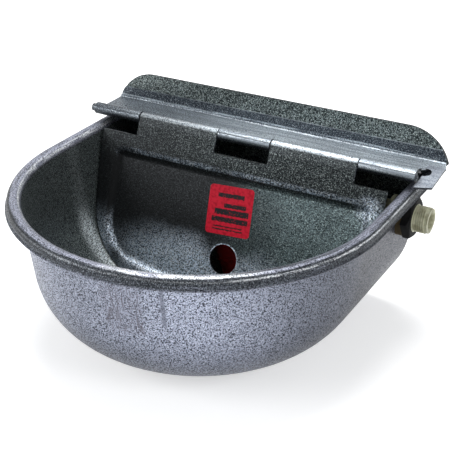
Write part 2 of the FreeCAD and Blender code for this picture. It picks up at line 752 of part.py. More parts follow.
outline = plate_outline()
PIECES = [
    make_bowl(),
    make_back_plate(outline),
    make_hinge_strip(outline),
    make_cover(),
    make_cover_label(),
    make_hinge_pin(),
    make_valve_body(),
    make_outer_washer(),
    make_inner_gasket(),
    make_lock_nut(),
    make_valve_seat(),
    make_inlet_screen(),
    make_plunger(),
    make_plunger_seal(),
    hang(make_float_arm()),
    hang(make_float()),
    hang(make_float_insert()),
    hang(make_float_washer()),
    hang(make_float_screw()),
    make_lever_pin(),
    make_pin_clip(),
]
doc.recompute()

for item in doc.Objects:
    assert not {"Invalid", "Error"} & set(item.State), f"{item.Label}: {item.State}"
for piece in PIECES:
    assert not piece.Shape.isNull() and piece.Shape.isValid(), f"{piece.Label} is not a valid solid"
    assert len(piece.Shape.Solids) == 1, f"{piece.Label} has {len(piece.Shape.Solids)} solids"

os.makedirs("parts", exist_ok=True)
for piece in PIECES:
    piece.Shape.exportStep(f"parts/{piece.Label}.step")
    box = piece.Shape.BoundBox
    print(f"{piece.Label:14s} {piece.Shape.Volume:10.0f} mm3  x {box.XMin:7.1f} {box.XMax:7.1f}"
          f"  y {box.YMin:7.1f} {box.YMax:7.1f}  z {box.ZMin:7.1f} {box.ZMax:7.1f}")
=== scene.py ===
import bpy
import json
import math
from mathutils import Euler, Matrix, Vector


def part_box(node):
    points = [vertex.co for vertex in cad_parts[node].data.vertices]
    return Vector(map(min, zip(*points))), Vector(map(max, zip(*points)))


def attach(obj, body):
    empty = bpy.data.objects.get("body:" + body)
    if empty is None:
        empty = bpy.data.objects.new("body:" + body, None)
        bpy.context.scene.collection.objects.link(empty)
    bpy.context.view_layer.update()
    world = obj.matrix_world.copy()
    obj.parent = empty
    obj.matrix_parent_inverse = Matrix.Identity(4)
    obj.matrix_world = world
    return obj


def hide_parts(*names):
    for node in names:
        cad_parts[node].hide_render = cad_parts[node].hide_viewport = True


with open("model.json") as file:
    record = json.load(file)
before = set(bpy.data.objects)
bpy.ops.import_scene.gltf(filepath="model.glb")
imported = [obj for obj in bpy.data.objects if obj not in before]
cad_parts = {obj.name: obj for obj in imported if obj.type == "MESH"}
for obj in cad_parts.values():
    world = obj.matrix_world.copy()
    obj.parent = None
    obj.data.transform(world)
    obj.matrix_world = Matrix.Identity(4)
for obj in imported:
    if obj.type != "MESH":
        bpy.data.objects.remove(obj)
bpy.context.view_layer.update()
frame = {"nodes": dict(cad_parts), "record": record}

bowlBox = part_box("bowl")
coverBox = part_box("cover")
openings = {item["name"]: item["box_m"] for item in frame["record"]["physics"]["openings"]}
holeMiddle = tuple((low + high) / 2 for low, high in zip(*openings["sight_hole"]))


def deselectAll():
    for item in list(bpy.context.selected_objects):
        item.select_set(False)


deselectAll()

cameraSet = {
    "place": (0.3912, -0.7668, 0.3747),
    "aim": (0.01673, -0.103, -0.01615),
    "lens": 88.0, "sensor": 36.0, "nearest": 0.01,
}
studioSet = {
    "floorFade": (0.30, 0.75),     # how far out the floor turns from pale to white
    "floorGap": 0.0006, "floorSize": 6.0, "floorRough": 0.9,
    "floorColor": (0.86, 0.86, 0.86, 1.0),
    "worldSeen": (1.0, 1.0, 1.0, 1.0),
    "worldLight": (0.62, 0.64, 0.67, 1.0),
    "worldStrength": 0.45,
}
lampSet = {
    "overhead": {"place": (-0.15, 0.10, 1.30), "size": 0.9, "watts": 17.0},
    "frontLeft": {"place": (-0.85, -1.05, 0.55), "size": 0.8, "watts": 9.0},
    "right": {"place": (1.25, -0.45, 0.75), "size": 0.6, "watts": 6.0},
}
lampAim = Vector((0.0, -0.10, -0.03))


def makeCamera():
    camera = bpy.data.objects.new("mainCamera", bpy.data.cameras.new("mainCamera"))
    bpy.context.scene.collection.objects.link(camera)
    camera.location = cameraSet["place"]
    sight = Vector(cameraSet["aim"]) - Vector(cameraSet["place"])
    camera.rotation_euler = sight.to_track_quat("-Z", "Y").to_euler()
    camera.data.lens = cameraSet["lens"]
    camera.data.sensor_width = cameraSet["sensor"]
    camera.data.clip_start = cameraSet["nearest"]
    bpy.context.scene.camera = camera


def makeLamps():
    for name, lamp in lampSet.items():
        data = bpy.data.lights.new(name, "AREA")
        data.shape = "DISK"
        data.size = lamp["size"]
        data.energy = lamp["watts"]
        item = bpy.data.objects.new(name, data)
        bpy.context.scene.collection.objects.link(item)
        item.location = lamp["place"]
        aim = lampAim - Vector(lamp["place"])
        item.rotation_euler = aim.to_track_quat("-Z", "Y").to_euler()


def feed(tree, socket, value):
    # a socket is given a link or a plain value
    if isinstance(value, bpy.types.NodeSocket):
        tree.links.new(value, socket)
    else:
        socket.default_value = value


def addNode(tree, kind, inputs=None, **settings):
    item = tree.nodes.new("ShaderNode" + kind)
    for name, value in settings.items():
        setattr(item, name, value)
    for name, value in (inputs or {}).items():
        feed(tree, item.inputs[name], value)
    return item


def mathNode(tree, operation, first, second=None, clamp=False):
    item = addNode(tree, "Math", {0: first}, operation=operation, use_clamp=clamp)
    if second is not None:
        feed(tree, item.inputs[1], second)
    return item.outputs[0]


def rangeNode(tree, value, low, high, toLow=0.0, toHigh=1.0, smooth=True):
    item = addNode(tree, "MapRange", {"Value": value, "From Min": low, "From Max": high,
                                      "To Min": toLow, "To Max": toHigh})
    item.interpolation_type = "SMOOTHSTEP" if smooth else "LINEAR"
    return item.outputs["Result"]


def mixColor(tree, factor, first, second, blend="MIX"):
    item = addNode(tree, "Mix", data_type="RGBA", blend_type=blend)
    # the colour sockets of a Mix node are its seventh and eighth
    for index, value in ((0, factor), (6, first), (7, second)):
        feed(tree, item.inputs[index], value)
    return item.outputs[2]


def mixValue(tree, factor, first, second):
    item = addNode(tree, "Mix", data_type="FLOAT")
    for index, value in ((0, factor), (2, first), (3, second)):
        feed(tree, item.inputs[index], value)
    return item.outputs[0]


def axes(tree, vector):
    parts = addNode(tree, "SeparateXYZ", {0: vector}).outputs
    return parts["X"], parts["Y"], parts["Z"]


def vectorValue(tree, operation, first, second):
    item = addNode(tree, "VectorMath", {0: first, 1: second}, operation=operation)
    return item.outputs["Value"]


def noise(tree, vector, scale, detail, roughness=0.5, distortion=0.0):
    return addNode(tree, "TexNoise", {"Vector": vector, "Scale": scale, "Detail": detail,
                                      "Roughness": roughness, "Distortion": distortion}).outputs["Fac"]


def newGroup(name, inputs, outputs):
    group = bpy.data.node_groups.new(name, "ShaderNodeTree")
    for title, kind, value in inputs:
        socket = group.interface.new_socket(title, in_out="INPUT", socket_type="NodeSocket" + kind)
        if value is not None:
            socket.default_value = value
    for title, kind in outputs:
        group.interface.new_socket(title, in_out="OUTPUT", socket_type="NodeSocket" + kind)
    return group, group.nodes.new("NodeGroupInput").outputs, group.nodes.new("NodeGroupOutput").inputs


def useGroup(tree, group, inputs):
    return addNode(tree, "Group", inputs, node_tree=group).outputs


def zincSkinGroup():
    # zinc with small dark and pale flecks, a finer grain over them and broad cloudy patches
    group, given, out = newGroup("zincSkin", [
        ("Vector", "Vector", None), ("Pale", "Color", (0.5, 0.5, 0.55, 1)),
        ("Ground", "Color", (0.3, 0.3, 0.33, 1)), ("Dark", "Color", (0.08, 0.09, 0.1, 1)),
        ("Fleck Size", "Float", 960.0), ("Dark Share", "Float", 0.3), ("Pale Share", "Float", 0.3),
        ("Cloud Size", "Float", 26.0), ("Cloud Depth", "Float", 0.3)],
        [("Color", "Color"), ("Roughness", "Float"), ("Height", "Float")])
    fleck = noise(group, given["Vector"], given["Fleck Size"], 2.0, 0.7, 0.2)
    finer = mathNode(group, "MULTIPLY", given["Fleck Size"], 1.45)
    speck = noise(group, given["Vector"], finer, 1.0, 0.6)
    darkEdge = mathNode(group, "SUBTRACT", 0.66, mathNode(group, "MULTIPLY", given["Dark Share"], 0.30))
    darkMask = rangeNode(group, mathNode(group, "SUBTRACT", fleck, darkEdge), -0.03, 0.04)
    paleEdge = mathNode(group, "SUBTRACT", 0.68, mathNode(group, "MULTIPLY", given["Pale Share"], 0.30))
    paleMask = rangeNode(group, mathNode(group, "SUBTRACT", speck, paleEdge), -0.03, 0.04)
    cloud = noise(group, given["Vector"], given["Cloud Size"], 4.0, 0.6, 0.6)
    shade = mathNode(group, "MULTIPLY", rangeNode(group, cloud, 0.36, 0.66), given["Cloud Depth"])
    ground = mixColor(group, shade, given["Ground"], given["Dark"])
    flecked = mixColor(group, mathNode(group, "MULTIPLY", paleMask, 0.85), ground, given["Pale"])
    colored = mixColor(group, mathNode(group, "MULTIPLY", darkMask, 0.95), flecked, given["Dark"])
    feed(group, out["Color"], colored)
    rough = mathNode(group, "ADD", 0.38, mathNode(group, "MULTIPLY", darkMask, 0.20))
    smoothed = mathNode(group, "SUBTRACT", rough, mathNode(group, "MULTIPLY", paleMask, 0.08))
    feed(group, out["Roughness"], smoothed)
    raised = mathNode(group, "SUBTRACT", mathNode(group, "MULTIPLY", paleMask, 0.35), darkMask)
    feed(group, out["Height"], raised)
    return group


def scuffGroup():
    # faint rubbed streaks that run up and down the side of the bowl
    group, given, out = newGroup("rubbedStreaks", [
        ("Vector", "Vector", None), ("Size", "Float", 420.0), ("Stretch", "Float", 0.06)],
        [("Mask", "Float")])
    stretch = addNode(group, "CombineXYZ", {"X": 1.0, "Y": 1.0, "Z": given["Stretch"]})
    squeezed = addNode(group, "VectorMath", {0: given["Vector"], 1: stretch.outputs[0]},
                       operation="MULTIPLY")
    streak = noise(group, squeezed.outputs[0], given["Size"], 1.0)
    feed(group, out["Mask"], rangeNode(group, streak, 0.52, 0.68))
    return group


zincSkin = zincSkinGroup()
streaks = scuffGroup()


def newMaterial(name):
    material = bpy.data.materials.new(name)
    material.use_nodes = True
    tree = material.node_tree
    shader = tree.nodes["Principled BSDF"]
    coords = addNode(tree, "TexCoord").outputs["Object"]
    return material, tree, shader, coords


def bumpInto(tree, shader, height, strength, distance):
    bump = addNode(tree, "Bump", {"Height": height, "Strength": strength, "Distance": distance})
    tree.links.new(bump.outputs["Normal"], shader.inputs["Normal"])


# three tones and the share of flecks for each area of the galvanised sheet
zincLooks = {
    "bowlOutside": {"Pale": (0.72, 0.76, 0.9, 1), "Ground": (0.37, 0.405, 0.505, 1),
                    "Dark": (0.018, 0.021, 0.031, 1), "Dark Share": 0.44, "Pale Share": 0.26,
                    "Cloud Depth": 0.16},
    # a darker copy of the bowl's zinc, standing in for shade inside the bowl
    "bowlInsideShaded": {"Pale": (0.4, 0.46, 0.45, 1), "Ground": (0.115, 0.135, 0.137, 1),
                   "Dark": (0.012, 0.015, 0.016, 1), "Dark Share": 0.46, "Pale Share": 0.34,
                   "Cloud Depth": 0.25},
    # a white copy used as the painted highlight inside the bowl
    "bowlInnerHighlight": {"Pale": (1.0, 1.0, 1.0, 1), "Ground": (0.85, 0.95, 0.97, 1),
                 "Dark": (0.04, 0.046, 0.05, 1), "Dark Share": 0.5, "Pale Share": 0.36,
                 "Cloud Depth": 0.25},
    "rimTop": {"Pale": (0.58, 0.61, 0.72, 1), "Ground": (0.30, 0.315, 0.385, 1),
               "Dark": (0.045, 0.050, 0.065, 1), "Dark Share": 0.42, "Pale Share": 0.26,
               "Cloud Depth": 0.35},
    # a pale copy used for the rim's painted highlight and painted glints
    "rimHighlight": {"Pale": (1.0, 1.0, 1.0, 1), "Ground": (0.78, 0.82, 0.86, 1),
                  "Dark": (0.10, 0.11, 0.13, 1), "Dark Share": 0.42, "Pale Share": 0.46,
                  "Cloud Depth": 0.25},
    # a dark copy used for painted shade on the rim and strip, and for dark streaks along the rim
    "rimShadeAndStreaks": {"Pale": (0.17, 0.19, 0.215, 1), "Ground": (0.028, 0.032, 0.038, 1),
                "Dark": (0.008, 0.009, 0.012, 1), "Dark Share": 0.36, "Pale Share": 0.34,
                "Cloud Depth": 0.20},
    "plate": {"Pale": (0.7, 0.78, 0.75, 1), "Ground": (0.135, 0.165, 0.166, 1),
              "Dark": (0.012, 0.016, 0.017, 1), "Dark Share": 0.54, "Pale Share": 0.36,
              "Cloud Depth": 0.40},
    # a darker copy of the strip's zinc, used as painted shade on the leg and the knuckles
    "leg": {"Pale": (0.42, 0.47, 0.50, 1), "Ground": (0.075, 0.090, 0.110, 1),
            "Dark": (0.012, 0.015, 0.020, 1), "Dark Share": 0.46, "Pale Share": 0.34,
            "Cloud Depth": 0.35},
    # the lit copy for the strip's upward faces, also used for painted highlights on the hinge and its
    # fold
    "shelf": {"Pale": (0.95, 1.0, 1.0, 1), "Ground": (0.56, 0.63, 0.69, 1),
              "Dark": (0.09, 0.105, 0.125, 1), "Dark Share": 0.34, "Pale Share": 0.30,
              "Cloud Depth": 0.20},
    "coverDark": {"Pale": (0.036, 0.040, 0.043, 1), "Ground": (0.0105, 0.0118, 0.0128, 1),
                  "Dark": (0.005, 0.0056, 0.0062, 1), "Dark Share": 0.34, "Pale Share": 0.30,
                  "Cloud Depth": 0.25},
    "coverBand": {"Pale": (0.19, 0.222, 0.222, 1), "Ground": (0.017, 0.021, 0.023, 1),
                  "Dark": (0.004, 0.005, 0.0055, 1), "Dark Share": 0.42, "Pale Share": 0.30,
                  "Cloud Depth": 0.35},
    "coverGrey": {"Pale": (0.24, 0.30, 0.30, 1), "Ground": (0.062, 0.086, 0.092, 1),
                  "Dark": (0.01, 0.014, 0.015, 1), "Dark Share": 0.44, "Pale Share": 0.28,
                  "Cloud Depth": 0.30},
    # a pale copy used for the cover's painted reflection and painted highlights
    "coverHighlight": {"Pale": (0.98, 1.0, 1.0, 1), "Ground": (0.55, 0.66, 0.8, 1),
                  "Dark": (0.025, 0.032, 0.04, 1), "Dark Share": 0.5, "Pale Share": 0.36,
                  "Cloud Depth": 0.25},
}


def zincShader(tree, shader, color, roughness, height, bump=0.3):
    feed(tree, shader.inputs["Base Color"], color)
    feed(tree, shader.inputs["Roughness"], roughness)
    shader.inputs["Metallic"].default_value = 0.72
    shader.inputs["Specular IOR Level"].default_value = 0.25
    bumpInto(tree, shader, height, bump, 0.0003)


def zincSkinOf(tree, coords, look):
    return useGroup(tree, zincSkin, {"Vector": coords, **zincLooks[look]})


def plainZinc(name, look):
    material, tree, shader, coords = newMaterial(name)
    skin = zincSkinOf(tree, coords, look)
    # the cut edges of the sheet, which don't face the wall or the room, are darker
    faceY = axes(tree, addNode(tree, "TexCoord").outputs["Normal"])[1]
    edge = rangeNode(tree, mathNode(tree, "ABSOLUTE", faceY), 0.75, 0.35)
    color = mixColor(tree, edge, skin["Color"], (0.022, 0.026, 0.028, 1))
    zincShader(tree, shader, color, skin["Roughness"], skin["Height"])
    return material


def product(tree, first, *others):
    for other in others:
        first = mathNode(tree, "MULTIPLY", first, other)
    return first


def nearMask(tree, value, middle, half, soft):
    # one within half of the middle, fading to nothing over soft
    away = mathNode(tree, "ABSOLUTE", mathNode(tree, "SUBTRACT", value, middle))
    return rangeNode(tree, away, half + soft, half)


bowlMarks = {
    "noseY": -0.1105,
    "crownFoot": (0.0128, 0.0138),     # heights between which the rolled rim begins
    "highlightToward": 25.0,              # degrees round from the nose to the stretch of the rim with a painted highlight
    "darkToward": 55.0,                # and to the darker one
    # the painted highlight stripe inside the bowl:
    "highlightStripe": (0.65, 0.002, 0.011),    # share of the bowl's depth, half width and fade
    "scuff": {"across": 0.55, "up": 0.70, "wide": (0.012, 0.006), "tall": (0.015, 0.008)},
    "smear": {"across": 0.65, "up": 0.75, "wide": (0.0008, 0.0012), "tall": (0.013, 0.005)},
}

# where a tone starts and ends along its axis, in metres, and its strength at both; the outside tones
# darken the bowl low down, toward the sides, beneath the lip and on the side wall as painted shade, and
# the inside ones place a painted highlight
bowlTones = {
    "low": (-0.098, -0.030, 0.42, 1.0), "right": (0.070, 0.138, 1.0, 0.34),
    "left": (-0.030, 0.075, 0.68, 1.0), "under": (0.0060, 0.0095, 1.0, 0.45),
    "wallAcross": (0.10, 0.135), "wallDeep": (-0.130, -0.095), "wallShadeDepth": 0.62,
    "front": (-0.18, -0.20), "deep": (-0.030, -0.060, 0.16, 1.0), "aside": (-0.060, -0.098),
    "floorFront": (-0.085, -0.15), "floorLow": (-0.065, -0.10), "floorHighlight": 0.10,
    "scuffInk": (0.12, 0.115, 0.14, 1), "smearInk": (0.13, 0.14, 0.18, 1),
    "edgeShade": (0.016, 0.018, 0.022, 1),
}


def atShare(box, axis, share):
    # the coordinate that lies a share of the way through a box
    return box[0][axis] + (box[1][axis] - box[0][axis]) * share


def patch(tree, x, z, mark):
    # an upright patch on the front of the bowl
    return product(tree, nearMask(tree, x, atShare(bowlBox, 0, mark["across"]), *mark["wide"]),
                   nearMask(tree, z, atShare(bowlBox, 2, mark["up"]), *mark["tall"]))


def bowlOutside(tree, coords, place, skins):
    x, y, z = place
    # painted shade: darker low down, toward both sides, beneath the lip and on the straight side wall
    low = rangeNode(tree, z, *bowlTones["low"])
    right = rangeNode(tree, x, *bowlTones["right"])
    left = rangeNode(tree, x, *bowlTones["left"])
    under = rangeNode(tree, z, *bowlTones["under"])
    sideWall = product(tree, rangeNode(tree, x, *bowlTones["wallAcross"]),
                       rangeNode(tree, y, *bowlTones["wallDeep"]))
    wall = rangeNode(tree, sideWall, 0.0, 1.0, 1.0, bowlTones["wallShadeDepth"])
    tone = product(tree, low, right, left, under, wall)
    shadeVector = addNode(tree, "CombineXYZ", {"X": tone, "Y": tone, "Z": tone}).outputs[0]
    color = mixColor(tree, 1.0, skins["bowlOutside"]["Color"], shadeVector, "MULTIPLY")
    rub = useGroup(tree, streaks, {"Vector": coords, "Size": 760.0, "Stretch": 0.02})
    scuff = product(tree, patch(tree, x, z, bowlMarks["scuff"]),
                    rangeNode(tree, y, *bowlTones["front"]),
                    mathNode(tree, "ADD", 0.25, rub["Mask"], True))
    color = mixColor(tree, product(tree, scuff, 0.85), color, bowlTones["scuffInk"])
    smear = product(tree, patch(tree, x, z, bowlMarks["smear"]),
                    rangeNode(tree, y, *bowlTones["front"]), 0.75)
    return mixColor(tree, smear, color, bowlTones["smearInk"])


def bowlInsideShaded(tree, place, skins):
    x, y, z = place
    # painted highlight: a stripe low on the inner left side and a patch at the front of the floor, over
    # the shaded copy
    share, half, soft = bowlMarks["highlightStripe"]
    highlightStripe = nearMask(tree, y, atShare(bowlBox, 1, share), half, soft)
    deep = rangeNode(tree, z, *bowlTones["deep"])
    front = product(tree, rangeNode(tree, y, *bowlTones["floorFront"]),
                    rangeNode(tree, z, *bowlTones["floorLow"]), bowlTones["floorHighlight"])
    aside = rangeNode(tree, x, *bowlTones["aside"])
    paintedHighlight = mathNode(tree, "MAXIMUM", product(tree, highlightStripe, deep, aside), front)
    return mixColor(tree, paintedHighlight, skins["bowlInsideShaded"]["Color"], skins["bowlInnerHighlight"]["Color"])


# ramps over the rim: how far it faces outward, how strong its streaks are, and which way it lies
rimTones = {
    "round": 0.145, "alongScale": 26.0, "acrossScale": 2.6, "wobble": 0.7,
    "nearby": (0.90, 0.985), "brightStreak": (0.36, 0.52),
    "darkStretchFacing": (-0.05, 0.12, 0.22), "darkStretchDepth": 0.85,
    "darkStreak": (0.50, 0.66), "darkDepth": 0.6,
    "sideFacing": (0.40, 0.64), "sideStreak": (0.28, 0.40, 0.55, 1.0),
    "glintFacing": (-0.74, 0.10, 0.16), "glintStreak": (0.38, 0.52), "glintAcross": (0.10, 0.02),
    "leftFacing": (0.52, 0.76), "leftToward": (-0.15, -0.60), "lineDepth": 0.9,
    "sideGlintFacing": (0.84, 0.03, 0.07), "sideGlintStreak": (0.36, 0.50),
    "sideGlintToward": (0.45, 0.95, 0.10, 0.75),
    "skirtFoot": (0.0104, 0.0108), "skirtTop": (0.0138, 0.0128), "skirtFacing": (0.5, 0.8),
    "skirtStreak": (0.34, 0.56, 0.35, 1.0),
}


def rolledRim(tree, place, away, outward, up, skins, color):
    # streaks run along the rolled rim, and its painted shade and painted highlights turn with the crown
    x, y, z = place
    awayX, awayY, _ = axes(tree, away)
    turn = mathNode(tree, "ARCTAN2", awayX, mathNode(tree, "SUBTRACT", 0.0, awayY))
    behind = mathNode(tree, "MAXIMUM", mathNode(tree, "SUBTRACT", y, bowlMarks["noseY"]), 0.0)
    along = mathNode(tree, "ADD", mathNode(tree, "MULTIPLY", turn, rimTones["round"]), behind)
    laneX = mathNode(tree, "MULTIPLY", along, rimTones["alongScale"])
    laneY = mathNode(tree, "MULTIPLY", outward, rimTones["acrossScale"])
    lane = addNode(tree, "CombineXYZ", {"X": laneX, "Y": laneY, "Z": up}).outputs[0]
    streak = noise(tree, lane, 1.3, 4.0, 0.62)
    wave = mathNode(tree, "MULTIPLY", mathNode(tree, "SUBTRACT", streak, 0.5), rimTones["wobble"])
    wavy = mathNode(tree, "ADD", outward, wave)
    towards = []
    for key in ("highlightToward", "darkToward"):
        angle = math.radians(bowlMarks[key])
        direction = (math.sin(angle), -math.cos(angle), 0.0)
        towards.append(vectorValue(tree, "DOT_PRODUCT", away, direction))
    # painted highlight on the front of the crown, broken by streaks
    bright = product(tree, rangeNode(tree, towards[0], *rimTones["nearby"]),
                     rangeNode(tree, streak, *rimTones["brightStreak"]))
    rim = mixColor(tree, bright, skins["rimTop"]["Color"], skins["rimHighlight"]["Color"])
    # a darker stretch across the crown toward the right
    darkStretch = product(tree, rangeNode(tree, towards[1], *rimTones["nearby"]),
                    nearMask(tree, wavy, *rimTones["darkStretchFacing"]), rimTones["darkStretchDepth"])
    rim = mixColor(tree, darkStretch, rim, skins["rimShadeAndStreaks"]["Color"])
    dark = product(tree, rangeNode(tree, streak, *rimTones["darkStreak"]), rimTones["darkDepth"])
    rim = mixColor(tree, dark, rim, skins["rimShadeAndStreaks"]["Color"])
    # painted shade down the outward side of the crown
    side = product(tree, rangeNode(tree, wavy, *rimTones["sideFacing"]),
                   rangeNode(tree, streak, *rimTones["sideStreak"]))
    rim = mixColor(tree, side, rim, skins["rimShadeAndStreaks"]["Color"])
    # painted glint: a thin line on the inner side at the left and front
    glint = product(tree, nearMask(tree, outward, *rimTones["glintFacing"]),
                    rangeNode(tree, streak, *rimTones["glintStreak"]),
                    rangeNode(tree, x, *rimTones["glintAcross"]), rimTones["lineDepth"])
    rim = mixColor(tree, glint, rim, skins["rimHighlight"]["Color"])
    # painted shade along the outer edge at the left
    outerLeftShade = product(tree, rangeNode(tree, outward, *rimTones["leftFacing"]),
                        rangeNode(tree, awayX, *rimTones["leftToward"]), rimTones["lineDepth"])
    rim = mixColor(tree, outerLeftShade, rim, bowlTones["edgeShade"])
    # painted glint: a thin line on the outer side of the crown
    sideGlint = product(tree, nearMask(tree, outward, *rimTones["sideGlintFacing"]),
                   rangeNode(tree, streak, *rimTones["sideGlintStreak"]),
                   rangeNode(tree, awayX, *rimTones["sideGlintToward"]))
    rim = mixColor(tree, sideGlint, rim, skins["rimHighlight"]["Color"])
    color = mixColor(tree, rangeNode(tree, z, *bowlMarks["crownFoot"]), color, rim)
    # painted shade in the groove beneath the crown
    skirt = product(tree, rangeNode(tree, z, *rimTones["skirtFoot"]),
                    rangeNode(tree, z, *rimTones["skirtTop"]),
                    rangeNode(tree, outward, *rimTones["skirtFacing"]),
                    rangeNode(tree, streak, *rimTones["skirtStreak"]))
    return mixColor(tree, skirt, color, skins["rimShadeAndStreaks"]["Color"])


def bowlZinc():
    # lilac-grey outside with painted shade low down and toward the sides, a dull, darker shaded copy of
    # the zinc inside with a painted highlight, and a rolled rim that is pale on top with painted
    # highlights and dark at the side as painted shade
    material, tree, shader, coords = newMaterial("bowlZinc")
    skins = {look: zincSkinOf(tree, coords, look) for look in
             ("bowlOutside", "bowlInsideShaded", "bowlInnerHighlight", "rimTop", "rimHighlight", "rimShadeAndStreaks")}
    place = axes(tree, coords)
    x, y = place[:2]
    reach = mathNode(tree, "MINIMUM", mathNode(tree, "SUBTRACT", y, bowlMarks["noseY"]), 0.0)
    level = addNode(tree, "CombineXYZ", {"X": x, "Y": reach}).outputs[0]
    away = addNode(tree, "VectorMath", {0: level}, operation="NORMALIZE").outputs[0]
    facing = addNode(tree, "TexCoord").outputs["Normal"]
    outward = vectorValue(tree, "DOT_PRODUCT", away, facing)
    up = axes(tree, facing)[2]
    # the floor's upper side faces up, its lower side down
    inward = mathNode(tree, "SUBTRACT", mathNode(tree, "MULTIPLY", up, 0.6), outward)
    insideMask = rangeNode(tree, inward, -0.08, 0.08)
    outside = bowlOutside(tree, coords, place, skins)
    inside = bowlInsideShaded(tree, place, skins)
    color = mixColor(tree, insideMask, outside, inside)
    color = rolledRim(tree, place, away, outward, up, skins, color)
    grain = [mixValue(tree, insideMask, skins["bowlOutside"][kind], skins["bowlInsideShaded"][kind])
             for kind in ("Roughness", "Height")]
    zincShader(tree, shader, color, *grain, 0.35)
    return material


coverMarks = {
    "lean": 22.0,
    "topFold": (0.0507, 0.0004, 0.0007),   # depth from the cover's own plane, half width and fade
    "slope": (0.0496, 0.0012, 0.0010),     # the same for the dish's sloping side
    "flange": (0.0508, 0.0513),
    "holeEdgeHighlight": (0.0130, 0.0004, 0.0004),
    "cornerSpot": (0.95, 0.65, 0.75),      # shares of the cover's box
    "spotSize": 0.015,
    "paleMiddle": 0.4,                     # share of its width
}
coverTones = {
    "drift": (0.07, 0.03), "grey": (-0.022, 0.060), "paleWide": (0.030, 0.060),
    "paleLow": (-0.048, -0.074), "hinge": (-0.004, 0.002), "band": (-0.10, 0.03, 0.25, 1.0),
    "raggedSlow": (0.36, 0.54, 0.4, 1.0), "raggedFine": (0.40, 0.55, 0.15, 1.0),
    "foldFacing": (0.33, 0.25), "foldLow": (-0.008, -0.004), "foldAcross": (-0.15, -0.01, 0.30, 1.0),
    "leftFacing": (0.15, 0.30), "leftDepth": 0.75, "leftInk": (0.006, 0.0066, 0.0072, 1),
    "leftCrescentHighlight": (-0.040, -0.066), "leftCrescentDepth": 0.9,
    "flangeAcross": (-0.098, -0.112), "flangeLow": (-0.034, -0.066), "flangeDepth": 0.45,
    "rightFacing": (-0.12, -0.40), "rightSlopeHighlight": (-0.060, -0.012, 0.0, 0.6),
    "shineHigh": (0.0230, 0.0275), "shineFacing": (0.35, 0.75), "shineAcross": (-0.13, 0.06, 0.25, 1.0),
}


